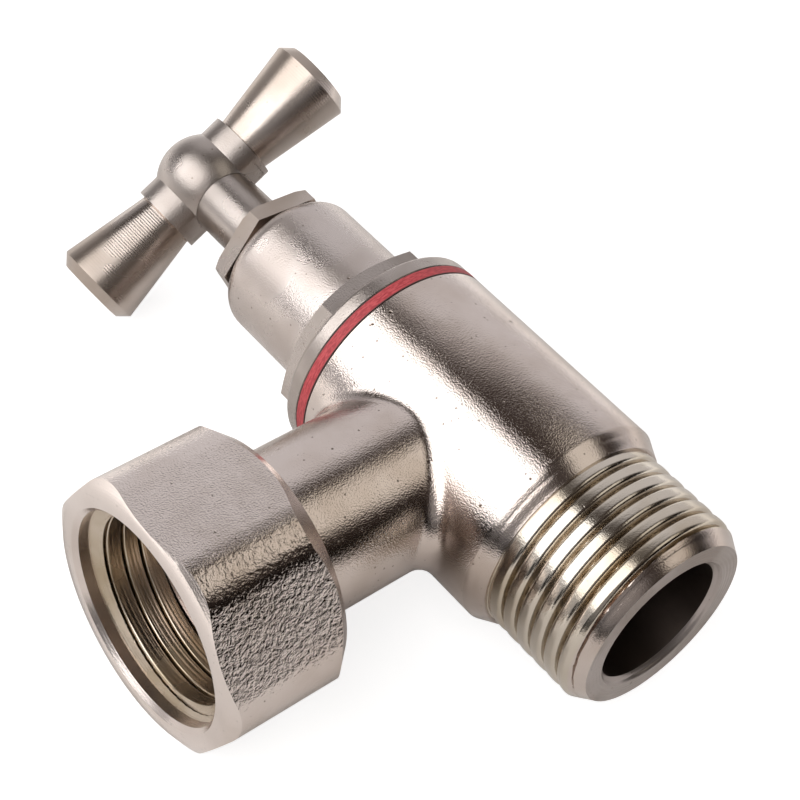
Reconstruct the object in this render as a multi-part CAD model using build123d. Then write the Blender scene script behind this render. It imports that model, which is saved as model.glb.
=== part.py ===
from build123d import *
from math import cos, radians, sin, sqrt, tan
import os

os.makedirs("parts", exist_ok=True)

# Angle valve of nickel-plated brass, in millimetres. The stem runs along the Y axis: the inlet
# points to the wall (+Y), the handle to the user (-Y) and the outlet to +X. The origin is the
# centre of the shoulder where the inlet thread ends.

# Inlet spigot, its half-inch pipe thread drawn as rings of the same pitch
inlet_thread_d = 20.955
inlet_thread_l = 12.0
thread_pitch = 1.814
thread_depth = 0.95
thread_flank_angle = 30
thread_first_groove = 1.534
inlet_chamfer = 1.2
inlet_chamfer_l = 1.9
inlet_bore_d = 13.6
inlet_mouth_chamfer = 0.6

# Cast body with its seat, from the inlet shoulder to the joint with the bonnet
body_d = 23.5
shoulder_d = 21.5
shoulder_chamfer_l = 1.9
shoulder_to_outlet = 15.0
outlet_to_joint = 10.7
chamber_d = 17.4
seat_to_outlet = 5.0
seat_bore_d = 9.0
seat_lip_d = 10.8
seat_lip_h = 1.2
seat_wall_t = 3.2

# Outlet tube on the body
tube_d = 16.8
tube_bore_d = 11.0
tube_reach = 30.0
tube_fillet = 2.0
tube_end_chamfer = 0.5

# Turned chamfer on the end of each hexagon
hex_chamfer_angle = 30

# Fibre gasket and bonnet
gasket_t = 1.2
joint_edge = 0.15
flange_t = 1.8
flange_edge = 0.5
bonnet_af = 18.75
bonnet_hex_h = 2.75
bonnet_turn = 51.7
bonnet_d = 15.9
bonnet_h = 17.8
bonnet_edge = 2.0
bonnet_spigot_l = 6.1
bonnet_cavity_d = 13.2
bonnet_cavity_l = 7.3
bonnet_thread_l = 8.4
bonnet_guide_l = 2.0

# Stuffing box: base ring, packing and gland nut
stuffing_d = 10.4
base_ring_t = 0.8
packing_l = 3.0
gland_af = 12.3
gland_hex_h = 1.85
gland_top_d = 13.2
gland_stand_off = 0.5
gland_turn = 3.5

# Rising stem
stem_d = 7.1
stem_thread_d = 9.8
stem_foot_d = 8.6
stem_lift = 3.75
stem_square = 5.0
stem_square_l = 4.6
thread_overrun = 0.5
thread_lead_in = 1.3

# Jumper with its rubber seat washer
jumper_pin_d = 4.8
jumper_pin_l = 6.0
jumper_d = 13.2
jumper_plate_t = 1.7
jumper_rim_h = 1.6
seat_washer_d = 11.7
seat_washer_t = 3.0
jumper_stud_d = 3.0
washer_nut_af = 5.5
washer_nut_h = 2.2
stud_end_l = 0.4

# One-piece T handle with its screw
joint_to_handle = 32.9
handle_turn = -31.5
hub_d = 10.2
hub_seat = 3.6
hub_socket_l = 1.0
hub_top = 4.3
collar_d = 7.8
collar_reach = 5.7
grip_neck_d = 6.5
grip_end_d = 9.6
grip_reach = 15.65
handle_reach = 16.75
handle_end_d = 7.5
screw_d = 3.0
screw_head_d = 4.8
screw_l = 8.0
screw_slot_w = 0.8
screw_slot_h = 0.6

# Union nut and the snap ring that holds it on the tube
nut_af = 25.3
nut_l = 13.3
nut_face_d = 24.8
nut_rear_d = 24.0
nut_rear_angle = 48
nut_corner = 5.5
nut_thread_minor_d = 18.631
nut_lead_in_d = 21.1
nut_lead_in_l = 1.5
nut_lead_in_angle = 30
nut_mouth_chamfer = 0.45
nut_collar_l = 4.8
nut_relief_d = 21.2
nut_relief_l = 0.8
ring_wire_d = 1.4
ring_to_tube_end = 3.0
ring_gap_angle = 24
ring_proud = 0.25

# Clearances on the radius or along the axis
running_fit = 0.05
held_fit = 0.03
nut_play = 0.65
nut_rest_gap = 0.1
nut_hang_angle = -68
ring_play = 0.1
seat_gap = 0.05
blind_end = 0.4

# Places along the stem axis
inlet_end = inlet_thread_l
outlet_y = -shoulder_to_outlet
joint_y = outlet_y - outlet_to_joint
seat_y = outlet_y + seat_to_outlet
chamber_floor = seat_y + seat_lip_h
seat_wall_y = chamber_floor + seat_wall_t
bonnet_y = joint_y - gasket_t
flange_y = bonnet_y - flange_t
bonnet_top = bonnet_y - bonnet_h
bonnet_bottom = bonnet_y + bonnet_spigot_l
cavity_y = bonnet_bottom - bonnet_cavity_l
thread_y = cavity_y - bonnet_thread_l
stuffing_y = thread_y - bonnet_guide_l
packing_y = stuffing_y - base_ring_t
gland_y = packing_y - packing_l
gland_hex_y = bonnet_top - gland_stand_off
gland_top = gland_hex_y - gland_hex_h
washer_y = seat_y - seat_gap
plate_y = washer_y - seat_washer_t
stem_foot_y = plate_y - jumper_plate_t - seat_gap
stem_thread_y = cavity_y + stem_lift + thread_lead_in
stem_neck_y = thread_y + stem_lift + thread_overrun
handle_y = joint_y - joint_to_handle
stem_shoulder_y = handle_y + hub_seat - hub_socket_l
stem_end_y = stem_shoulder_y - stem_square_l

# Places along the outlet axis
ring_x = tube_reach - ring_to_tube_end
nut_rear_x = ring_x - nut_collar_l / 2
nut_front_x = nut_rear_x + nut_l
nut_collar_x = nut_rear_x + nut_collar_l
nut_hang = nut_play - nut_rest_gap
ring_r = tube_d / 2 + ring_proud

outlet_axis = Axis((0, outlet_y, 0), (1, 0, 0))


def across_stem(y):
    """Plane across the stem axis at y: its x is +X, its y is +Z and its normal points to the handle."""
    return Plane(origin=(0, y, 0), x_dir=(1, 0, 0), z_dir=(0, -1, 0))


def across_outlet(x):
    """Plane across the outlet axis at x: its x is +Y, its y is +Z and its normal leaves the nut."""
    return Plane(origin=(x, outlet_y, 0), x_dir=(0, 1, 0), z_dir=(1, 0, 0))


def turned(outline):
    """Solid turned about the stem axis from (radius, y) points."""
    return revolve(make_face(Polyline(*outline, close=True)), Axis.Y)


def bored(outline):
    """Solid turned about the outlet axis from (x, radius) points."""
    points = [(x, outlet_y + r) for x, r in outline]
    return revolve(make_face(Polyline(*points, close=True)), outlet_axis)


def stem_ring(outer_d, inner_d, start, end):
    """Plain ring about the stem axis, from y = start to y = end."""
    inner, outer = inner_d / 2, outer_d / 2
    return turned([(inner, start), (outer, start), (outer, end), (inner, end)])


def stem_hexagon(flats, start, length, turn):
    """Hexagonal prism of the given width across flats, from y = start towards the handle."""
    outline = RegularPolygon(flats / sqrt(3), 6, rotation=turn)
    return extrude(across_stem(start) * outline, length)


def chamfered_hexagon(flats, start, length, turn, top_d):
    """Hexagonal prism whose far end is turned to a cone, down to a circle of top_d, which cuts its corners."""
    corner_r = flats / sqrt(3)
    end = start - length
    cone_start = end + (corner_r - top_d / 2) * tan(radians(hex_chamfer_angle))
    blank = turned([
        (0, start),
        (corner_r, start),
        (corner_r, cone_start),
        (top_d / 2, end),
        (0, end),
    ])
    return blank & stem_hexagon(flats, start, length, turn)


def inlet_grooves():
    """Rings of V section, one for each pitch, that cut the inlet thread into the spigot."""
    root_r = inlet_thread_d / 2 - thread_depth
    mouth_r = inlet_thread_d / 2 + thread_depth
    mouth_half = (mouth_r - root_r) * tan(radians(thread_flank_angle))
    count = int((inlet_end - thread_first_groove) / thread_pitch) + 1
    middles = [thread_first_groove + turn * thread_pitch for turn in range(count)]
    return [turned([(root_r, y), (mouth_r, y + mouth_half), (mouth_r, y - mouth_half)]) for y in middles]


def valve_body():
    """Casting: turned outside with a filleted branch and ringed inlet, then bored with seat and chamber."""
    body_r = body_d / 2
    spigot_r = inlet_thread_d / 2
    outside = turned([
        (0, inlet_end),
        (spigot_r - inlet_chamfer, inlet_end),
        (spigot_r, inlet_end - inlet_chamfer_l),
        (spigot_r, 0),
        (shoulder_d / 2, 0),
        (body_r, -shoulder_chamfer_l),
        (body_r, joint_y + joint_edge),
        (body_r - joint_edge, joint_y),
        (0, joint_y),
    ])
    outside -= inlet_grooves()
    tube_r = tube_d / 2
    branch = bored([
        (0, 0),
        (tube_reach, 0),
        (tube_reach, tube_r - tube_end_chamfer),
        (tube_reach - tube_end_chamfer, tube_r),
        (0, tube_r),
    ])
    casting = outside + branch
    saddle = [
        edge for edge in casting.edges()
        if edge.geom_type not in (GeomType.LINE, GeomType.CIRCLE) and edge.center().X > 0
    ]
    casting = fillet(saddle, tube_fillet)
    bore_r = inlet_bore_d / 2
    casting -= turned([
        (0, inlet_end),
        (bore_r + inlet_mouth_chamfer, inlet_end),
        (bore_r, inlet_end - inlet_mouth_chamfer),
        (bore_r, seat_wall_y),
        (0, seat_wall_y),
    ])
    casting -= stem_ring(seat_bore_d, 0, seat_wall_y, seat_y)
    casting -= turned([
        (seat_bore_d / 2, seat_y),
        (seat_lip_d / 2, seat_y),
        (seat_lip_d / 2, chamber_floor),
        (chamber_d / 2, chamber_floor),
        (chamber_d / 2, joint_y),
        (0, joint_y),
        (0, seat_y),
    ])
    bore_start = seat_lip_d / 2 + held_fit
    casting -= bored([
        (bore_start, 0),
        (tube_reach, 0),
        (tube_reach, tube_bore_d / 2),
        (bore_start, tube_bore_d / 2),
    ])
    groove_half = ring_wire_d / 2 + running_fit
    groove_floor = ring_r - ring_wire_d / 2 - ring_play
    casting -= bored([
        (ring_x - groove_half, groove_floor),
        (ring_x + groove_half, groove_floor),
        (ring_x + groove_half, tube_r + ring_wire_d),
        (ring_x - groove_half, tube_r + ring_wire_d),
    ])
    return casting


def bonnet():
    """Headwork: threaded spigot, round flange, hexagon and tower, bored for the stem and its packing."""
    flange_r = body_d / 2 - held_fit
    tower_r = bonnet_d / 2
    shell = turned([
        (0, bonnet_bottom),
        (chamber_d / 2 - held_fit, bonnet_bottom),
        (chamber_d / 2 - held_fit, bonnet_y),
        (flange_r - joint_edge, bonnet_y),
        (flange_r, bonnet_y - joint_edge),
        (flange_r, flange_y),
        (tower_r, flange_y),
        (tower_r, bonnet_top),
        (0, bonnet_top),
    ])
    rims = shell.edges().filter_by(GeomType.CIRCLE).sort_by(Axis.Y)
    flange_rims = [rim for rim in rims if abs(rim.radius - flange_r) < held_fit / 2]
    shell = fillet(flange_rims[0], flange_edge)
    tower_rim = shell.edges().filter_by(GeomType.CIRCLE).sort_by(Axis.Y)[0]
    shell = fillet(tower_rim, bonnet_edge)
    shell += chamfered_hexagon(bonnet_af, flange_y, bonnet_hex_h, bonnet_turn, bonnet_af)
    shell -= turned([
        (0, bonnet_bottom),
        (bonnet_cavity_d / 2, bonnet_bottom),
        (bonnet_cavity_d / 2, cavity_y),
        (stem_thread_d / 2 + running_fit, cavity_y),
        (stem_thread_d / 2 + running_fit, thread_y),
        (stem_d / 2 + running_fit, thread_y),
        (stem_d / 2 + running_fit, stuffing_y),
        (stuffing_d / 2, stuffing_y),
        (stuffing_d / 2, bonnet_top),
        (0, bonnet_top),
    ])
    return shell


def gland_nut():
    """Thin hexagon with a spigot that presses the packing down the stuffing box."""
    nut = chamfered_hexagon(gland_af, gland_hex_y, gland_hex_h, gland_turn, gland_top_d)
    nut += stem_ring(stuffing_d - 2 * held_fit, 0, gland_y, gland_hex_y)
    return nut - stem_ring(stem_d + 2 * running_fit, 0, gland_y, gland_top)


def stem():
    """Spindle: foot with the jumper's socket, thread, polished shank and the square for the handle."""
    shank_r = stem_d / 2
    socket_r = jumper_pin_d / 2 + running_fit
    socket_end = stem_foot_y - jumper_pin_l - blind_end
    spindle = turned([
        (socket_r, stem_foot_y),
        (stem_foot_d / 2, stem_foot_y),
        (stem_foot_d / 2, stem_thread_y),
        (stem_thread_d / 2, stem_thread_y),
        (stem_thread_d / 2, stem_neck_y),
        (shank_r, stem_neck_y),
        (shank_r, stem_shoulder_y),
        (0, stem_shoulder_y),
        (0, socket_end),
        (socket_r, socket_end),
    ])
    square = across_stem(stem_shoulder_y) * Rectangle(stem_square, stem_square, rotation=handle_turn)
    spindle += extrude(square, stem_square_l)
    tapped_end = stem_end_y + screw_l
    return spindle - stem_ring(screw_d, 0, tapped_end, stem_end_y)


def jumper():
    """Brass disc with a guide pin in the stem, a rim round the rubber and a stud for its nut."""
    pin_r = jumper_pin_d / 2
    stud_r = jumper_stud_d / 2
    rim_r = seat_washer_d / 2 + held_fit
    top = plate_y - jumper_plate_t
    pin_end = top - seat_gap - jumper_pin_l
    stud_end = washer_y + washer_nut_h + stud_end_l
    return turned([
        (0, pin_end),
        (pin_r, pin_end),
        (pin_r, top),
        (jumper_d / 2, top),
        (jumper_d / 2, plate_y + jumper_rim_h),
        (rim_r, plate_y + jumper_rim_h),
        (rim_r, plate_y),
        (stud_r, plate_y),
        (stud_r, stud_end),
        (0, stud_end),
    ])


def washer_nut():
    """Small hexagon that holds the rubber washer in its cup; it hangs inside the seat bore."""
    nut = stem_hexagon(washer_nut_af, washer_y + washer_nut_h, washer_nut_h, 0)
    return nut - stem_ring(jumper_stud_d + 2 * held_fit, 0, washer_y + washer_nut_h, washer_y)


def handle():
    """T handle turned about its bar: ball hub, collars, flared grips; sunk for the stem and screw."""
    hub_r = hub_d / 2
    collar_r = collar_d / 2
    collar_start = sqrt(hub_r ** 2 - collar_r ** 2)
    grip = [
        (collar_start, collar_r),
        (collar_reach, collar_r),
        (collar_reach, grip_neck_d / 2),
        (grip_reach, grip_end_d / 2),
        (handle_reach, handle_end_d / 2),
        (handle_reach, 0),
    ]
    mirrored = [(-x, r) for x, r in reversed(grip)]
    ball = ThreePointArc((-collar_start, collar_r), (0, hub_r), (collar_start, collar_r))
    outline = Polyline(*mirrored) + ball + Polyline(*grip) + Line((handle_reach, 0), (-handle_reach, 0))
    bar = revolve(make_face(outline), Axis.X)
    bar -= Pos(0, 0, -hub_seat) * Box(hub_d, hub_d, hub_r, align=(Align.CENTER, Align.CENTER, Align.MAX))
    bar -= Pos(0, 0, hub_top) * Box(hub_d, hub_d, hub_r, align=(Align.CENTER, Align.CENTER, Align.MIN))
    upward = (Align.CENTER, Align.CENTER, Align.MIN)
    socket_floor = -hub_seat + hub_socket_l
    bar -= Pos(0, 0, -hub_seat) * Cylinder(stem_d / 2 + held_fit, hub_socket_l, align=upward)
    square = stem_square + 2 * held_fit
    bar -= Pos(0, 0, socket_floor) * Box(square, square, stem_square_l + blind_end, align=upward)
    bar -= Pos(0, 0, socket_floor) * Cylinder(screw_d / 2 + running_fit, hub_d, align=upward)
    bar -= Pos(0, 0, hub_top) * countersink(running_fit)
    bar_dir = (cos(radians(handle_turn)), 0, sin(radians(handle_turn)))
    return Plane(origin=(0, handle_y, 0), x_dir=bar_dir, z_dir=(0, -1, 0)) * bar


def countersink(play):
    """Cone of a 90 degree screw head with its flat top at z = 0, grown by play."""
    head_r = screw_head_d / 2 + play
    shank_r = screw_d / 2
    depth = head_r - shank_r
    upward = (Align.CENTER, Align.CENTER, Align.MIN)
    return Pos(0, 0, -depth) * Cone(shank_r, head_r, depth, align=upward)


def handle_screw():
    """Slotted countersunk screw down the hub into the stem's end."""
    hub_face = handle_y - hub_top
    shank_r = screw_d / 2 - held_fit
    depth = screw_head_d / 2 - screw_d / 2
    shank_end = stem_end_y + screw_l - blind_end
    screw = across_stem(hub_face) * countersink(0)
    screw += stem_ring(2 * shank_r, 0, shank_end, hub_face + depth)
    slot = Box(screw_head_d * 2, screw_slot_w, screw_slot_h * 2)
    return screw - across_stem(hub_face) * slot


def union_nut():
    """Forged hexagon with ends turned so that they scallop the flats; bored, it hangs loose on the tube."""
    corner_r = nut_af / sqrt(3)
    front_slope = tan(radians(hex_chamfer_angle))
    rear_slope = tan(radians(nut_rear_angle))
    blank = bored([
        (nut_rear_x, 0),
        (nut_rear_x, nut_rear_d / 2),
        (nut_rear_x + (corner_r - nut_rear_d / 2) * rear_slope, corner_r),
        (nut_front_x - (corner_r - nut_face_d / 2) * front_slope, corner_r),
        (nut_front_x, nut_face_d / 2),
        (nut_front_x, 0),
    ])
    section = fillet(RegularPolygon(corner_r, 6).vertices(), nut_corner)
    nut = blank & extrude(across_outlet(nut_rear_x) * section, nut_l)
    mouth_r = nut_lead_in_d / 2
    thread_r = nut_thread_minor_d / 2
    collar_r = tube_d / 2 + nut_play
    lead_in_x = nut_front_x - nut_lead_in_l
    thread_start_x = lead_in_x - (mouth_r - thread_r) * tan(radians(nut_lead_in_angle))
    nut -= bored([
        (nut_rear_x, 0),
        (nut_rear_x, collar_r),
        (nut_collar_x, collar_r),
        (nut_collar_x, nut_relief_d / 2),
        (nut_collar_x + nut_relief_l, nut_relief_d / 2),
        (nut_collar_x + nut_relief_l, thread_r),
        (thread_start_x, thread_r),
        (lead_in_x, mouth_r),
        (nut_front_x - nut_mouth_chamfer, mouth_r),
        (nut_front_x, mouth_r + nut_mouth_chamfer),
        (nut_front_x, 0),
    ])
    groove_half = ring_wire_d / 2 + ring_play
    groove_r = ring_r + groove_half + nut_hang
    nut -= bored([
        (ring_x - groove_half, 0),
        (ring_x + groove_half, 0),
        (ring_x + groove_half, groove_r),
        (ring_x - groove_half, groove_r),
    ])
    hang = radians(nut_hang_angle)
    return Pos(0, nut_hang * cos(hang), nut_hang * sin(hang)) * nut


def snap_ring():
    """Split spring-wire ring that lies in the tube's groove and stands out into the nut's."""
    wire = Pos(ring_x, outlet_y + ring_r) * Circle(ring_wire_d / 2)
    ring = revolve(wire, outlet_axis, 360 - ring_gap_angle)
    return ring.rotate(outlet_axis, 180 + ring_gap_angle / 2)


gasket_bore_d = chamber_d + 2 * held_fit
packing_d = stuffing_d - 2 * held_fit
packing_bore_d = stem_d + 2 * running_fit
washer_bore_d = jumper_stud_d + 2 * held_fit

pieces = {
    "valve_body": valve_body(),
    "bonnet_gasket": stem_ring(body_d, gasket_bore_d, joint_y, bonnet_y),
    "bonnet": bonnet(),
    "packing_base_ring": stem_ring(packing_d, packing_bore_d, stuffing_y, packing_y),
    "gland_packing": stem_ring(packing_d, packing_bore_d, packing_y, gland_y),
    "gland_nut": gland_nut(),
    "stem": stem(),
    "jumper": jumper(),
    "seat_washer": stem_ring(seat_washer_d, washer_bore_d, washer_y, plate_y),
    "washer_nut": washer_nut(),
    "handle": handle(),
    "handle_screw": handle_screw(),
    "union_nut": union_nut(),
    "snap_ring": snap_ring(),
}

for name, piece in pieces.items():
    piece.label = name
    export_step(piece, f"parts/{name}.step")
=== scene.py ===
import bpy
import numpy as np
from mathutils import Matrix, Vector


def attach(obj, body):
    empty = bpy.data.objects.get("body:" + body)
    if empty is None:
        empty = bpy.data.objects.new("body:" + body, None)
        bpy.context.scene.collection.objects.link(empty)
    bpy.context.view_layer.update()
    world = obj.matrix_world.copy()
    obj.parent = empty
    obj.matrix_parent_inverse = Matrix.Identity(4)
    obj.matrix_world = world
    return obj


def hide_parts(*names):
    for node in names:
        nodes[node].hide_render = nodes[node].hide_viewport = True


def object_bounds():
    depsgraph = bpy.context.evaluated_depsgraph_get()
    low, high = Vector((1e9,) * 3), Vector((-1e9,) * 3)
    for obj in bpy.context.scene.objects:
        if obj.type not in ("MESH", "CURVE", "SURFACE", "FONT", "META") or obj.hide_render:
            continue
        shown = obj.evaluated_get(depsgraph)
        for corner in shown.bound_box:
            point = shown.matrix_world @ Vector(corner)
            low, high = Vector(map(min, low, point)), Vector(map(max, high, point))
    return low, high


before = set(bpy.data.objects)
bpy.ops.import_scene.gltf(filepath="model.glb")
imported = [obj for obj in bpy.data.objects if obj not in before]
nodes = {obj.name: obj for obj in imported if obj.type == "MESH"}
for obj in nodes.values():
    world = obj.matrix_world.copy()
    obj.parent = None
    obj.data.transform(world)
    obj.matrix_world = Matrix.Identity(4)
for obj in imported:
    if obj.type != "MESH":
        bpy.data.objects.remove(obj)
cad_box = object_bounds()
MM = 0.001


# The camera stands where the photograph was taken: above the outlet and the inlet, rolled a little.
# Its place and turn were fitted to the rings, bores and edges that the photograph shows.
CAMERA_AT = (97.407, 68.169, 138.853)
CAMERA_RIGHT = (-0.768434, 0.629568, 0.114687)
CAMERA_UP = (-0.403228, -0.615525, 0.677153)
CAMERA_BACK = (0.496907, 0.474103, 0.726850)
CAMERA_NEAREST = 0.01
FOCAL_PX = 1960.7
IMAGE_PX = 800.0
SENSOR_MM = 36.0

scene = bpy.context.scene
scene.view_settings.view_transform = "Standard"
camera_data = bpy.data.cameras.new("camera")
camera_data.sensor_width = SENSOR_MM
camera_data.lens = SENSOR_MM * FOCAL_PX / IMAGE_PX
camera_data.clip_start = CAMERA_NEAREST
camera = bpy.data.objects.new("camera", camera_data)
scene.collection.objects.link(camera)
camera_turn = Matrix((CAMERA_RIGHT, CAMERA_UP, CAMERA_BACK)).transposed().to_4x4()
camera.matrix_world = Matrix.Translation(Vector(CAMERA_AT) * MM) @ camera_turn
scene.camera = camera


# The stage is white paper in a dark room. A large soft box hangs over the outlet's side and a weaker, warm
# one over the inlet; a pale sheet stands away from the outlet, a low wall behind the handle and a faint glow
# beside the camera. Nickel shows all of these as bands. Lengths are metres.
FLOOR_NEAR = 0.11
FLOOR_FAR = -1.0
FLOOR_SIDE = 0.9
FLOOR_Z = cad_box[0].z
CENTRE = Vector((8.0, -20.0, 0.0)) * MM
WHITE = (1.0, 1.0, 1.0, 1.0)
PAPER = (0.86, 0.84, 0.82, 1.0)
PAPER_SEEN = (0.50, 0.50, 0.50, 1.0)
SEEN_LIFT = 0.80
GLEAM = (1.0, 0.98, 0.96, 1.0)
MIRROR_REACH = (0.05, 0.18)
MIRROR_LIFT = (0.0, 0.72)
SHEET_X = (0.08, -0.36)
SHEET_RISE = 0.8
SHEET_SLANT = (0.59, 0.22)
WALL_Z = (0.50, 0.25)
WALL_Y = (0.0, -0.30)
WALL_LEVEL = 0.62
ASIDE_WAY = (0.64, 0.56, 0.52)
ASIDE_SPREAD = (0.78, 0.97)
ASIDE_LEVEL = 0.42
SWEEP = (0.78, 0.76, 0.77, 1.0)
ROOM_LOW = (0.008, 0.006, 0.005, 1.0)
ROOM_HIGH = (0.060, 0.047, 0.040, 1.0)
ROOM_Z = (0.25, 0.55)


def node(tree, kind, inputs=None, **settings):
    """Adds a shader node; inputs maps socket names to values, or to sockets that are linked to them."""
    made = tree.nodes.new(kind)
    for key, value in settings.items():
        setattr(made, key, value)
    for key, value in (inputs or {}).items():
        if isinstance(value, bpy.types.NodeSocket):
            tree.links.new(value, made.inputs[key])
        else:
            made.inputs[key].default_value = value
    return made


def math(tree, operation, first, second=0.0, clamp=False):
    """Output of a math node with two inputs, each a number or a socket."""
    made = node(tree, "ShaderNodeMath", {0: first, 1: second}, operation=operation, use_clamp=clamp)
    return made.outputs[0]


def ramp(tree, value, low, high, to_low=0.0, to_high=1.0):
    """Output of a smooth step of value from low to high."""
    made = node(
        tree,
        "ShaderNodeMapRange",
        {"Value": value, "From Min": low, "From Max": high, "To Min": to_low, "To Max": to_high},
        interpolation_type="SMOOTHSTEP",
    )
    return made.outputs["Result"]


def blend(tree, factor, first, second):
    """Output of a mix of two colours, each a colour or a socket."""
    made = node(tree, "ShaderNodeMix", {"Factor": factor, "A": first, "B": second}, data_type="RGBA")
    return made.outputs["Result"]


def empty_material(name):
    """New material and its node tree, with no nodes in it."""
    material = bpy.data.materials.new(name)
    material.use_nodes = True
    material.node_tree.nodes.clear()
    return material, material.node_tree


def floor_material():
    """White paper, lifted to white for the camera and, away from the object, for reflections; the object's
    shadow stays on it."""
    material, tree = empty_material("paper_floor")
    path = node(tree, "ShaderNodeLightPath")
    paper = node(tree, "ShaderNodeBsdfDiffuse", {"Color": PAPER})
    seen = node(tree, "ShaderNodeBsdfDiffuse", {"Color": PAPER_SEEN})
    lift = node(tree, "ShaderNodeEmission", {"Color": WHITE, "Strength": SEEN_LIFT})
    lifted = node(tree, "ShaderNodeAddShader", {0: seen.outputs[0], 1: lift.outputs[0]})
    place = node(tree, "ShaderNodeTexCoord").outputs["Object"]
    away = node(tree, "ShaderNodeVectorMath", {0: place}, operation="LENGTH").outputs["Value"]
    growing = ramp(tree, away, *MIRROR_REACH, *MIRROR_LIFT)
    gleam = math(tree, "MULTIPLY", path.outputs["Is Glossy Ray"], growing)
    glow = node(tree, "ShaderNodeEmission", {"Color": GLEAM, "Strength": gleam})
    mirrored = node(tree, "ShaderNodeAddShader", {0: paper.outputs[0], 1: glow.outputs[0]})
    mixed = node(
        tree,
        "ShaderNodeMixShader",
        {0: path.outputs["Is Camera Ray"], 1: mirrored.outputs[0], 2: lifted.outputs[0]},
    )
    node(tree, "ShaderNodeOutputMaterial", {"Surface": mixed.outputs[0]})
    return material


def soft_box(name, at, facing, across, width, height, radiance, colour):
    """Rectangular area light at a place measured from the object's middle, turned so that its back looks
    along facing and its width along across; radiance is what a mirror would show of it."""
    data = bpy.data.lights.new(name, "AREA")
    data.shape = "RECTANGLE"
    data.size = width
    data.size_y = height
    data.energy = radiance * np.pi * width * height
    data.color = colour
    lamp = bpy.data.objects.new(name, data)
    scene.collection.objects.link(lamp)
    back = Vector(facing).normalized()
    wide = (Vector(across) - back * Vector(across).dot(back)).normalized()
    turn = Matrix((wide, back.cross(wide), back)).transposed().to_4x4()
    lamp.matrix_world = Matrix.Translation(CENTRE + Vector(at)) @ turn


def studio_world():
    """Dark room with a pale sheet, a low wall and a faint glow, made of smooth steps of the direction; the
    camera itself sees white."""
    world = bpy.data.worlds.new("studio")
    scene.world = world
    world.use_nodes = True
    tree = world.node_tree
    tree.nodes.clear()
    way = node(tree, "ShaderNodeTexCoord").outputs["Generated"]
    split = node(tree, "ShaderNodeSeparateXYZ", {0: way}).outputs
    height = split["Z"]
    slant = math(tree, "ADD", split["Y"], math(tree, "MULTIPLY", height, SHEET_RISE))
    sheet = math(tree, "MULTIPLY", ramp(tree, split["X"], *SHEET_X), ramp(tree, slant, *SHEET_SLANT))
    low = ramp(tree, height, *WALL_Z, 0.0, WALL_LEVEL)
    wall = math(tree, "MULTIPLY", low, ramp(tree, split["Y"], *WALL_Y))
    aside = node(tree, "ShaderNodeVectorMath", {0: way, 1: ASIDE_WAY}, operation="DOT_PRODUCT")
    glow = ramp(tree, aside.outputs["Value"], *ASIDE_SPREAD, 0.0, ASIDE_LEVEL)
    sweep = math(tree, "MAXIMUM", math(tree, "MAXIMUM", sheet, wall), glow)
    dim = blend(tree, ramp(tree, height, *ROOM_Z), ROOM_LOW, ROOM_HIGH)
    room = node(tree, "ShaderNodeBackground", {"Color": blend(tree, sweep, dim, SWEEP), "Strength": 1.0})
    white = node(tree, "ShaderNodeBackground", {"Color": WHITE, "Strength": 1.0})
    path = node(tree, "ShaderNodeLightPath")
    mixed = node(
        tree,
        "ShaderNodeMixShader",
        {0: path.outputs["Is Camera Ray"], 1: room.outputs[0], 2: white.outputs[0]},
    )
    node(tree, "ShaderNodeOutputWorld", {"Surface": mixed.outputs[0]})


floor_mesh = bpy.data.meshes.new("floor")
to_camera = Vector((CAMERA_BACK[0], CAMERA_BACK[1], 0.0)).normalized()
sideways = Vector((-to_camera.y, to_camera.x, 0.0))
floor_corners = [
    to_camera * FLOOR_FAR + sideways * FLOOR_SIDE,
    to_camera * FLOOR_FAR - sideways * FLOOR_SIDE,
    to_camera * FLOOR_NEAR - sideways * FLOOR_SIDE,
    to_camera * FLOOR_NEAR + sideways * FLOOR_SIDE,
]
floor_mesh.from_pydata(floor_corners, [], [(0, 1, 2, 3)])
floor = bpy.data.objects.new("floor", floor_mesh)
floor.location.z = FLOOR_Z
scene.collection.objects.link(floor)
floor_mesh.materials.append(floor_material())
studio_world()
soft_box(
    "key_box",
    at=(0.333, -0.115, 0.373),
    facing=(0.65, 0.0, 0.76),
    across=(0, 1, 0),
    width=0.77,
    height=0.54,
    radiance=2.6,
    colour=(1.0, 1.0, 1.0),
)
soft_box(
    "warm_box",
    at=(-0.24, 0.202, 0.39),
    facing=(-0.477, 0.404, 0.78),
    across=(1, 0, 0),
    width=0.26,
    height=0.37,
    radiance=0.88,
    colour=(1.0, 0.95, 0.85),
)


# The body is one brass casting, tumbled and nickel-plated: the skin keeps the sand's fine grain and pits.
# The inlet spigot, its end face and the shoulder are turned; a half-inch pipe thread is cut on the spigot.
# Sizes are millimetres on the stem's axis, which is y; noises are given as (scale, detail, distortion).
PITCH = 1.814
THREAD_MAJOR = 10.4775
THREAD_MINOR = 9.3155
INLET_ROOT = 9.5275
THREAD_COLUMNS = 288
INLET_ROWS = 170
INLET_END = 12.0
INLET_CHAMFER_START = 10.1
INLET_END_R = THREAD_MAJOR - 1.2
INLET_POWER = 5
RUN_OUT = 1.1
HAIR = 0.01
THREAD_PICK_R = 9.0
ACROSS_STEM = 0.95
SEAT_Y = -9.0
BORE_PICK_R = 6.9
SHOULDER_START = -2.0
END_RIM = 0.5
SHARP_ANGLE = 32.0
WELD_DIGITS = 4
MICRO = 1e-6
NICKEL = (0.655, 0.580, 0.540, 1.0)
NICKEL_SHADE = (0.560, 0.480, 0.430, 1.0)
NOISES = {"Grain": (6500.0, 2.0, 0.0), "Hammer": (2300.0, 3.0, 0.4), "Wave": (260.0, 1.0, 0.0)}
PATCH_SCALE = 140.0
PATCH_TINT = (0.35, 0.70)
PATCH_ROUGH = (0.30, 0.75)
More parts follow.
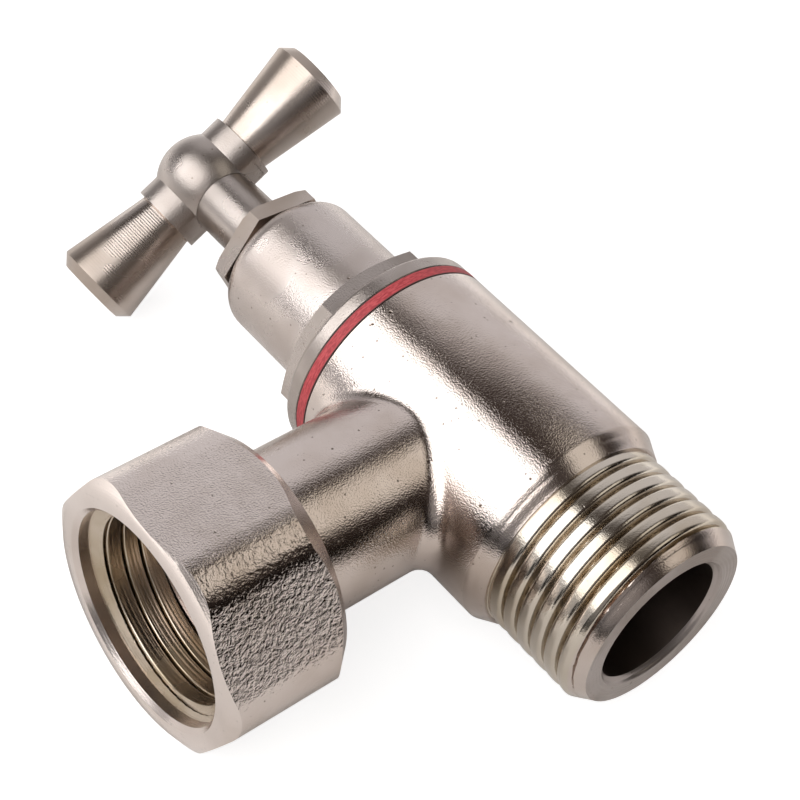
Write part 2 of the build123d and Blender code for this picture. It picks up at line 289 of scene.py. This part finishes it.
ROUGH_SPREAD = (0.85, 1.25)
PITS = {"scale": 520.0, "chance": 0.55, "size": 0.11, "edge": 0.05}
SPECKS = {"scale": 1900.0, "chance": 0.70, "size": 0.24, "edge": 0.08}
SPECK_DEPTH = 0.7
DEEP_PIT = 24 * MICRO
# Colour of the painted shade in the pits; deeper pits take more of it.
PIT_PAINTED_SHADE = (0.16, 0.12, 0.09, 1.0)
LINE_NOISE_RATE = 2.2
LINE_NOISE = 2.0


def round_pits(tree, place, scale, chance, size, edge):
    """Mask of round pits: in each cell of a point pattern whose draw is above chance, a smooth step of the
    pit's size, which grows with the draw, less the distance from the cell's point."""
    cells = node(tree, "ShaderNodeTexVoronoi", {"Vector": place, "Scale": scale}, feature="F1")
    draw = node(tree, "ShaderNodeSeparateColor", {0: cells.outputs["Color"]}).outputs[0]
    inside = math(tree, "SUBTRACT", ramp(tree, draw, chance, 1.0, 0.0, size), cells.outputs["Distance"])
    return ramp(tree, inside, 0.0, edge)


def relief_group():
    """Node group: surface heights in metres of a cast skin, from three noises less round pits and specks;
    with them a mask of the pits and a slow noise for patches."""
    group = bpy.data.node_groups.new("cast_relief", "ShaderNodeTree")
    face = group.interface
    face.new_socket("Vector", in_out="INPUT", socket_type="NodeSocketVector")
    for name in (*NOISES, "Pits"):
        face.new_socket(name, in_out="INPUT", socket_type="NodeSocketFloat")
    for name in ("Height", "Pit Mask", "Patch"):
        face.new_socket(name, in_out="OUTPUT", socket_type="NodeSocketFloat")
    given = node(group, "NodeGroupInput").outputs
    place = given["Vector"]
    total = 0.0
    for name, (scale, detail, distortion) in NOISES.items():
        settings = {"Vector": place, "Scale": scale, "Detail": detail, "Distortion": distortion}
        noise = node(group, "ShaderNodeTexNoise", settings).outputs["Fac"]
        total = math(group, "ADD", math(group, "MULTIPLY", noise, given[name]), total)
    specks = math(group, "MULTIPLY", round_pits(group, place, **SPECKS), SPECK_DEPTH)
    pit = math(group, "MAXIMUM", round_pits(group, place, **PITS), specks)
    depth = math(group, "SUBTRACT", total, math(group, "MULTIPLY", pit, given["Pits"]))
    dark = math(group, "MULTIPLY", given["Pits"], 1 / DEEP_PIT, clamp=True)
    patch = node(group, "ShaderNodeTexNoise", {"Vector": place, "Scale": PATCH_SCALE, "Detail": 3.0})
    result = {"Height": depth, "Pit Mask": math(group, "MULTIPLY", pit, dark), "Patch": patch.outputs["Fac"]}
    node(group, "NodeGroupOutput", result)
    return group


CAST_RELIEF = relief_group()


def turned_lines(tree, value, pitch, depth):
    """Height of turning marks: a sine of the given pitch along value, made uneven by a noise of the same
    value."""
    settings = {"W": value, "Scale": LINE_NOISE_RATE / pitch, "Detail": 2.0}
    noise = node(tree, "ShaderNodeTexNoise", settings, noise_dimensions="1D").outputs["Fac"]
    wave = math(tree, "SINE", math(tree, "MULTIPLY", value, 2 * np.pi / pitch))
    both = math(tree, "ADD", wave, math(tree, "MULTIPLY", noise, LINE_NOISE))
    return math(tree, "MULTIPLY", both, depth)


def plated(name, roughness, grain, hammer, wave, pits, lines=None, colour=NICKEL, shade=NICKEL_SHADE):
    """Nickel plating on brass. grain, hammer, wave and pits are heights in micrometres; lines is
    (function of tree and coordinates that gives a value in metres, pitch, depth in micrometres)."""
    material, tree = empty_material(name)
    place = node(tree, "ShaderNodeTexCoord").outputs["Object"]
    heights = {"Grain": grain * MICRO, "Hammer": hammer * MICRO, "Wave": wave * MICRO, "Pits": pits * MICRO}
    relief = node(tree, "ShaderNodeGroup", {"Vector": place, **heights}, node_tree=CAST_RELIEF).outputs
    height = relief["Height"]
    if lines:
        value, pitch, depth = lines
        height = math(tree, "ADD", height, turned_lines(tree, value(tree, place), pitch, depth * MICRO))
    bump = node(tree, "ShaderNodeBump", {"Height": height, "Distance": 1.0, "Strength": 1.0})
    tint = blend(tree, ramp(tree, relief["Patch"], *PATCH_TINT), colour, shade)
    least, most = (roughness * share for share in ROUGH_SPREAD)
    shader = node(
        tree,
        "ShaderNodeBsdfPrincipled",
        {
            # Pits are coloured darker by their depth: painted shade in the pits.
            "Base Color": blend(tree, relief["Pit Mask"], tint, PIT_PAINTED_SHADE),
            "Metallic": 1.0,
            "Roughness": ramp(tree, relief["Patch"], *PATCH_ROUGH, least, most),
            "Normal": bump.outputs[0],
        },
    )
    node(tree, "ShaderNodeOutputMaterial", {"Surface": shader.outputs[0]})
    return material


def stem_radius(tree, place):
    """Distance from the stem axis, in metres."""
    flat = node(tree, "ShaderNodeVectorMath", {0: place, 1: (1.0, 0.0, 1.0)}, operation="MULTIPLY")
    return node(tree, "ShaderNodeVectorMath", {0: flat.outputs[0]}, operation="LENGTH").outputs["Value"]


def cad_arrays(name):
    """Welded vertices in millimetres, and triangles, of a CAD node."""
    mesh = nodes[name].data
    mesh.calc_loop_triangles()
    points = np.empty(len(mesh.vertices) * 3)
    mesh.vertices.foreach_get("co", points)
    triangles = np.empty(len(mesh.loop_triangles) * 3, int)
    mesh.loop_triangles.foreach_get("vertices", triangles)
    points = points.reshape(-1, 3) / MM
    welded, index = np.unique(points.round(WELD_DIGITS), axis=0, return_inverse=True)
    triangles = index.reshape(-1)[triangles].reshape(-1, 3)
    real = (triangles != np.roll(triangles, 1, axis=1)).all(axis=1)
    return welded, triangles[real]


def face_facts(points, triangles):
    """Centres and unit normals of triangles."""
    a, b, c = points[triangles].transpose(1, 0, 2)
    normal = np.cross(b - a, c - a)
    normal /= np.maximum(np.linalg.norm(normal, axis=1, keepdims=True), 1e-12)
    return (a + b + c) / 3, normal


def thread_height(phase, power):
    """Thread form between root 0 and crest 1: one less a power of the way from the crest's middle. The higher
    the power, the flatter the crest and the narrower the groove."""
    away = 2 * np.abs(phase - np.floor(phase) - 0.5)
    return 1 - away ** power


def grid_faces(rows, columns):
    """Quads of a grid that closes on itself along its columns."""
    row, column = np.meshgrid(np.arange(rows - 1), np.arange(columns), indexing="ij")
    following = (column + 1) % columns
    here = row * columns
    above = here + columns
    corners = [above + column, above + following, here + following, here + column]
    return np.stack(corners, axis=-1).reshape(-1, 4)


def add_piece(name, points, faces, materials, indices, body, replaced):
    """Makes one mesh object from points in millimetres and face lists, and lets it stand for a CAD node."""
    mesh = bpy.data.meshes.new(name)
    mesh.from_pydata((points * MM).tolist(), [], [f for part in faces for f in part.tolist()])
    for material in materials:
        mesh.materials.append(material)
    mesh.polygons.foreach_set("material_index", np.concatenate(indices))
    mesh.shade_smooth()
    mesh.set_sharp_from_angle(angle=np.radians(SHARP_ANGLE))
    mesh.update()
    piece = bpy.data.objects.new(name, mesh)
    scene.collection.objects.link(piece)
    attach(piece, body)
    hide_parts(replaced)


def inlet_thread():
    """Grid over angle and y: the radius follows the helix between root and crest, held inside the end
    chamfer; the groove runs out to nothing next to the shoulder."""
    along = np.linspace(0.0, INLET_END, INLET_ROWS)[:, None]
    angle = np.linspace(0, 2 * np.pi, THREAD_COLUMNS, endpoint=False)[None, :]
    form = thread_height(along / PITCH + angle / (2 * np.pi), INLET_POWER)
    depth = (THREAD_MAJOR - INLET_ROOT) * np.clip(along / RUN_OUT, 0, 1)
    chamfer_slope = (THREAD_MAJOR - INLET_END_R) / (INLET_END - INLET_CHAMFER_START)
    chamfer = THREAD_MAJOR - (along - INLET_CHAMFER_START) * chamfer_slope
    radius = np.minimum(THREAD_MAJOR - depth * (1 - form), chamfer)
    along = np.broadcast_to(along, radius.shape)
    points = np.stack([radius * np.cos(angle), along, radius * np.sin(angle)], axis=-1)
    return points.reshape(-1, 3), grid_faces(INLET_ROWS, THREAD_COLUMNS)


cast_skin = plated("cast_nickel", roughness=0.115, grain=28.0, hammer=4.0, wave=36.0, pits=24.0)
thread_skin = plated(
    "turned_nickel", roughness=0.18, grain=9.0, hammer=0.0, wave=6.0, pits=6.0,
    lines=(stem_radius, 0.00026, 1.6), colour=(0.60, 0.545, 0.475, 1.0), shade=(0.49, 0.42, 0.33, 1.0),
)
# The bore's nickel is coloured near black: painted shade inside the inlet bore.
shaded_bore_skin = plated(
    "drilled_nickel_painted_shade", roughness=0.45, grain=10.0, hammer=4.0, wave=10.0, pits=8.0,
    lines=(stem_radius, 0.00040, 1.0), colour=(0.13, 0.10, 0.085, 1.0), shade=(0.08, 0.06, 0.05, 1.0),
)
shoulder_skin = plated(
    "lined_nickel", roughness=0.17, grain=16.0, hammer=3.0, wave=6.0, pits=14.0,
    lines=(stem_radius, 0.00055, 9.0), colour=(0.60, 0.53, 0.49, 1.0), shade=(0.50, 0.42, 0.37, 1.0),
)
# The end face is rough and coloured darker than the plating; the darker colour is painted shade, for the
# shadowed paper it reflects.
end_skin_painted_shade = plated(
    "sawn_nickel_painted_shade", roughness=0.36, grain=16.0, hammer=6.0, wave=10.0, pits=16.0,
    lines=(stem_radius, 0.00040, 10.0), colour=(0.46, 0.41, 0.39, 1.0), shade=(0.34, 0.29, 0.26, 1.0),
)
CAST, THREAD, SHOULDER, END, BORE = range(5)
body_points, body_faces = cad_arrays("valve_body")
body_centres, body_normals = face_facts(body_points, body_faces)
body_y = body_centres[:, 1]
body_radius = np.hypot(body_centres[:, 0], body_centres[:, 2])
on_thread = (body_y > HAIR) & (body_radius > THREAD_PICK_R) & (np.abs(body_normals[:, 1]) < ACROSS_STEM)
in_bore = (body_y > SEAT_Y) & (body_radius < BORE_PICK_R)
body_skin = np.select([in_bore, body_y > HAIR, body_y > SHOULDER_START], [BORE, END, SHOULDER], CAST)
spigot_points, spigot_faces = inlet_thread()
at_end = spigot_points[spigot_faces[:, 0], 1] > INLET_CHAMFER_START + END_RIM
add_piece(
    "threaded_body",
    np.concatenate([body_points, spigot_points]),
    [body_faces[~on_thread], spigot_faces + len(body_points)],
    [cast_skin, thread_skin, shoulder_skin, end_skin_painted_shade, shaded_bore_skin],
    [body_skin[~on_thread], np.where(at_end, SHOULDER, THREAD)],
    body="valve",
    replaced="valve_body",
)


# The bonnet is turned from bar and plated satin: a thin round flange, a thin hexagon and a tower. Under it is
# a red fibre ring, inside it a brass base ring and graphited packing, and a thin gland nut closes the tower.
# Flange and hexagon are a little rougher than the tower and coloured darker, which is painted shade; the
# tower ends at the radius given here.
TOWER_R = 9.05
# The headwork's nickel is coloured darker than the body's: partly a duller finish, partly painted shade that
# tones down the key box's light on the top of the valve.
DULL_AND_SHADED = (0.530, 0.468, 0.428, 1.0)
DULL_AND_SHADED_TONE = (0.430, 0.362, 0.312, 1.0)
# Darkest headwork colour: painted shade on the hub, on the stem under it, and on the flange and hexagon.
BLASTED_AND_SHADED = (0.450, 0.402, 0.374, 1.0)
BLASTED_AND_SHADED_TONE = (0.365, 0.320, 0.292, 1.0)
SATIN_AND_SHADED = (0.595, 0.535, 0.505, 1.0)
SATIN_AND_SHADED_TONE = (0.520, 0.455, 0.420, 1.0)
FIBRE_DARK = (0.36, 0.030, 0.040, 1.0)
FIBRE_LIGHT = (0.56, 0.085, 0.095, 1.0)
# Colour of the painted shade along the gasket's two edges.
FIBRE_GAP_SHADE = (0.07, 0.035, 0.032, 1.0)
FIBRE_STRETCH = (1.0, 4.0, 1.0)
FIBRE_SCALE = 1800.0
FIBRE_RELIEF = 30 * MICRO
GAP_SHADE_SPREAD = (0.44, 0.53)
GAP_SHADE_RAGGED = 0.10
MOTTLE = (0.3, 0.7)
MOTTLE_ROUGH = (0.8, 1.2)

# The tower takes a darker nickel colour: partly its satin finish, partly painted shade.
satin_skin = plated(
    "satin_nickel", roughness=0.26, grain=40.0, hammer=5.0, wave=10.0, pits=20.0,
    colour=SATIN_AND_SHADED, shade=SATIN_AND_SHADED_TONE,
)
# Flange and hexagon take the darkest headwork colour: painted shade.
rim_skin = plated(
    "milled_nickel", roughness=0.28, grain=24.0, hammer=3.0, wave=10.0, pits=14.0,
    colour=BLASTED_AND_SHADED, shade=BLASTED_AND_SHADED_TONE,
)
bonnet_points, bonnet_faces = cad_arrays("bonnet")
bonnet_centres = face_facts(bonnet_points, bonnet_faces)[0]
on_rim = np.hypot(bonnet_centres[:, 0], bonnet_centres[:, 2]) > TOWER_R
add_piece(
    "two_finish_bonnet",
    bonnet_points,
    [bonnet_faces],
    [satin_skin, rim_skin],
    [on_rim.astype(int)],
    body="valve",
    replaced="bonnet",
)


def fibre_material(low, high):
    """Red vulcanised fibre: fine strands along the ring in two reds, matt with a rough cut edge, with painted
    shade along its edges where it meets the metal at y low and y high."""
    material, tree = empty_material("red_fibre")
    place = node(tree, "ShaderNodeTexCoord").outputs["Object"]
    drawn = node(tree, "ShaderNodeVectorMath", {0: place, 1: FIBRE_STRETCH}, operation="MULTIPLY").outputs[0]
    settings = {"Vector": drawn, "Scale": FIBRE_SCALE, "Detail": 4.0}
    strands = node(tree, "ShaderNodeTexNoise", settings).outputs["Fac"]
    colour = blend(tree, ramp(tree, strands, 0.35, 0.65), FIBRE_DARK, FIBRE_LIGHT)
    thickness = high - low
    depth = node(tree, "ShaderNodeSeparateXYZ", {0: place}).outputs["Y"]
    middle = math(tree, "ABSOLUTE", math(tree, "SUBTRACT", depth, (low + high) / 2))
    ragged = math(tree, "ADD", middle, math(tree, "MULTIPLY", strands, thickness * GAP_SHADE_RAGGED))
    # Painted shade: the ring's edges next to the metal are darkened, as in the thin gap between the parts.
    gap_shade = ramp(tree, ragged, thickness * GAP_SHADE_SPREAD[0], thickness * GAP_SHADE_SPREAD[1])
    bump = node(tree, "ShaderNodeBump", {"Height": strands, "Distance": FIBRE_RELIEF, "Strength": 1.0})
    shader = node(
        tree,
        "ShaderNodeBsdfPrincipled",
        {
            "Base Color": blend(tree, gap_shade, colour, FIBRE_GAP_SHADE),
            "Roughness": ramp(tree, strands, *MOTTLE, 0.50, 0.72),
            "Normal": bump.outputs[0],
        },
    )
    node(tree, "ShaderNodeOutputMaterial", {"Surface": shader.outputs[0]})
    return material


def mottled(name, dark, light, metallic, roughness, scale, relief):
    """Hidden pieces: two tones of one material, mottled by a noise that also sets roughness and relief, which
    is given in micrometres."""
    material, tree = empty_material(name)
    place = node(tree, "ShaderNodeTexCoord").outputs["Object"]
    settings = {"Vector": place, "Scale": scale, "Detail": 4.0}
    mottle = node(tree, "ShaderNodeTexNoise", settings).outputs["Fac"]
    bump = node(tree, "ShaderNodeBump", {"Height": mottle, "Distance": relief * MICRO, "Strength": 1.0})
    least, most = (roughness * share for share in MOTTLE_ROUGH)
    shader = node(
        tree,
        "ShaderNodeBsdfPrincipled",
        {
            "Base Color": blend(tree, ramp(tree, mottle, *MOTTLE), dark, light),
            "Metallic": metallic,
            "Roughness": ramp(tree, mottle, *MOTTLE, least, most),
            "Normal": bump.outputs[0],
        },
    )
    node(tree, "ShaderNodeOutputMaterial", {"Surface": shader.outputs[0]})
    return material


def dress(material, *names):
    """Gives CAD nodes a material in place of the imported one."""
    for name in names:
        nodes[name].data.materials.clear()
        nodes[name].data.materials.append(material)


gasket_y = cad_arrays("bonnet_gasket")[0][:, 1] * MM
dress(fibre_material(gasket_y.min(), gasket_y.max()), "bonnet_gasket")
bare_brass = mottled(
    "bare_brass", (0.42, 0.27, 0.09, 1.0), (0.72, 0.53, 0.24, 1.0),
    metallic=1.0, roughness=0.30, scale=900.0, relief=4.0,
)
dress(bare_brass, "packing_base_ring", "jumper", "washer_nut")
yarn = mottled(
    "graphited_yarn", (0.02, 0.02, 0.02, 1.0), (0.12, 0.115, 0.11, 1.0),
    metallic=0.0, roughness=0.55, scale=1600.0, relief=60.0,
)
dress(yarn, "gland_packing")
# The gland nut takes the darker headwork colour: partly a duller finish, partly painted shade.
gland_skin = plated(
    "gland_nickel", roughness=0.28, grain=10.0, hammer=0.0, wave=8.0, pits=6.0,
    colour=DULL_AND_SHADED, shade=DULL_AND_SHADED_TONE,
)
dress(gland_skin, "gland_nut")


# The stem is drawn brass rod, turned and plated; below it a loose jumper carries a black rubber washer. The
# T handle has a blasted hub and fine turned lines round its flared grips; it sits on the stem's square, held
# by a screw. The hub's reach along the bar is in millimetres; the bar is turned from x about the stem.
BAR_TURN = np.radians(31.5)
BAR = (np.cos(BAR_TURN), 0.0, -np.sin(BAR_TURN))
HUB_REACH = 5.6


def along_bar(tree, place):
    """Distance along the handle's bar, in metres."""
    return node(tree, "ShaderNodeVectorMath", {0: place, 1: BAR}, operation="DOT_PRODUCT").outputs["Value"]


def along_stem(tree, place):
    """Distance along the stem, in metres."""
    return node(tree, "ShaderNodeSeparateXYZ", {0: place}).outputs["Y"]


# The stem takes the darkest headwork colour: painted shade, as under the hub.
stem_skin = plated(
    "drawn_nickel", roughness=0.30, grain=26.0, hammer=0.0, wave=3.0, pits=5.0,
    lines=(along_stem, 0.00021, 0.8), colour=BLASTED_AND_SHADED, shade=BLASTED_AND_SHADED_TONE,
)
# The grips take the darker headwork colour: partly a duller finish, partly painted shade.
grip_skin = plated(
    "lathe_nickel", roughness=0.25, grain=12.0, hammer=0.0, wave=3.0, pits=6.0,
    lines=(along_bar, 0.00028, 2.4), colour=DULL_AND_SHADED, shade=DULL_AND_SHADED_TONE,
)
# The hub's dark colour is partly its blasted finish, partly painted shade.
hub_skin = plated(
    "blasted_nickel", roughness=0.30, grain=34.0, hammer=4.0, wave=10.0, pits=16.0,
    colour=BLASTED_AND_SHADED, shade=BLASTED_AND_SHADED_TONE,
)
dress(stem_skin, "stem")
handle_points, handle_faces = cad_arrays("handle")
handle_centres = face_facts(handle_points, handle_faces)[0]
on_grip = np.abs(handle_centres @ np.array(BAR)) > HUB_REACH
add_piece(
    "two_finish_handle",
    handle_points,
    [handle_faces],
    [hub_skin, grip_skin],
    [on_grip.astype(int)],
    body="spindle",
    replaced="handle",
)
dress(gland_skin, "handle_screw")
rubber = mottled(
    "black_rubber", (0.012, 0.012, 0.012, 1.0), (0.035, 0.034, 0.033, 1.0),
    metallic=0.0, roughness=0.6, scale=1200.0, relief=12.0,
)
dress(rubber, "seat_washer")


# The union nut is forged in a die, so its flats are hammered and its corners round; both ends, the mouth and
# the half-inch female thread are turned. It spins on the outlet tube, held by a split ring of spring wire.
# Sizes are millimetres along the tube, which is x; the nut hangs a little off the tube's axis.
NUT_THREAD_START = 30.2
NUT_THREAD_END = 36.4
NUT_CREST_END = 35.687
NUT_MOUTH_R = 10.55
NUT_ROWS = 190
NUT_POWER = 13
NUT_Y = -14.79396
NUT_Z = -0.50995
FLAT_TILT = 0.05
FLAT_PICK_R = 11.5
HAMMERED_SIDE = 0.3
FORGED = (0.735, 0.660, 0.620, 1.0)
FORGED_SHADE = (0.635, 0.560, 0.515, 1.0)


def nut_thread():
    """Grid over angle and x: the radius follows the helix from crest to root, opened out to the smooth
    mouth."""
    along = np.linspace(NUT_THREAD_START, NUT_THREAD_END, NUT_ROWS)[:, None]
    angle = np.linspace(0, 2 * np.pi, THREAD_COLUMNS, endpoint=False)[None, :]
    form = thread_height(along / PITCH - angle / (2 * np.pi), NUT_POWER)
    opening_slope = (NUT_MOUTH_R - THREAD_MINOR) / (NUT_THREAD_END - NUT_CREST_END)
    opening = THREAD_MINOR + (along - NUT_CREST_END) * opening_slope
    radius = np.maximum(THREAD_MAJOR - (THREAD_MAJOR - THREAD_MINOR) * form, opening)
    along = np.broadcast_to(along, radius.shape)
    points = np.stack([along, NUT_Y + radius * np.cos(angle), NUT_Z + radius * np.sin(angle)], axis=-1)
    return points.reshape(-1, 3), grid_faces(NUT_ROWS, THREAD_COLUMNS)


def nut_axis_radius(tree, place):
    """Distance from the nut's own axis, in metres."""
    axis = (0.0, NUT_Y * MM, NUT_Z * MM)
    moved = node(tree, "ShaderNodeVectorMath", {0: place, 1: axis}, operation="SUBTRACT").outputs[0]
    flat = node(tree, "ShaderNodeVectorMath", {0: moved, 1: (0.0, 1.0, 1.0)}, operation="MULTIPLY")
    return node(tree, "ShaderNodeVectorMath", {0: flat.outputs[0]}, operation="LENGTH").outputs["Value"]


def along_tube(tree, place):
    """Distance along the outlet tube, in metres."""
    return node(tree, "ShaderNodeSeparateXYZ", {0: place}).outputs["X"]


hammered_skin = plated("hammered_nickel", roughness=0.13, grain=20.0, hammer=66.0, wave=60.0, pits=26.0)
forged_skin = plated(
    "forged_nickel", roughness=0.14, grain=46.0, hammer=10.0, wave=60.0, pits=40.0,
    colour=FORGED, shade=FORGED_SHADE,
)
nut_turned_skin = plated(
    "faced_nickel", roughness=0.21, grain=8.0, hammer=0.0, wave=6.0, pits=8.0,
    lines=(nut_axis_radius, 0.00024, 0.8), colour=FORGED, shade=FORGED_SHADE,
)
# The nut's thread is coloured darker and warmer than its faces; the darkness is painted shade inside the nut.
shaded_nut_thread_skin = plated(
    "cut_nickel", roughness=0.24, grain=6.0, hammer=1.0, wave=6.0, pits=8.0,
    lines=(along_tube, 0.00042, 9.0), colour=(0.60, 0.52, 0.43, 1.0), shade=(0.44, 0.36, 0.26, 1.0),
)
HAMMERED, TURNED, CUT, DROP_FORGED = range(4)
nut_points, nut_faces = cad_arrays("union_nut")
nut_centres, nut_normals = face_facts(nut_points, nut_faces)
nut_x = nut_centres[:, 0]
nut_radius = np.hypot(nut_centres[:, 1] - NUT_Y, nut_centres[:, 2] - NUT_Z)
in_thread = (nut_x > NUT_THREAD_START + HAIR) & (nut_x < NUT_THREAD_END - HAIR) & (nut_radius < NUT_MOUTH_R)
on_flat = (np.abs(nut_normals[:, 0]) < FLAT_TILT) & (nut_radius > FLAT_PICK_R)
hammered = on_flat & (nut_normals[:, 1] > HAMMERED_SIDE)
nut_skin = np.select([hammered, on_flat], [HAMMERED, DROP_FORGED], TURNED)
cut_points, cut_faces = nut_thread()
add_piece(
    "threaded_nut",
    np.concatenate([nut_points, cut_points]),
    [nut_faces[~in_thread], cut_faces + len(nut_points)],
    [hammered_skin, nut_turned_skin, shaded_nut_thread_skin, forged_skin],
    [nut_skin[~in_thread], np.full(len(cut_faces), CUT)],
    body="union",
    replaced="union_nut",
)
wire = mottled(
    "spring_wire", (0.30, 0.29, 0.28, 1.0), (0.55, 0.54, 0.53, 1.0),
    metallic=1.0, roughness=0.35, scale=700.0, relief=3.0,
)
dress(wire, "snap_ring")
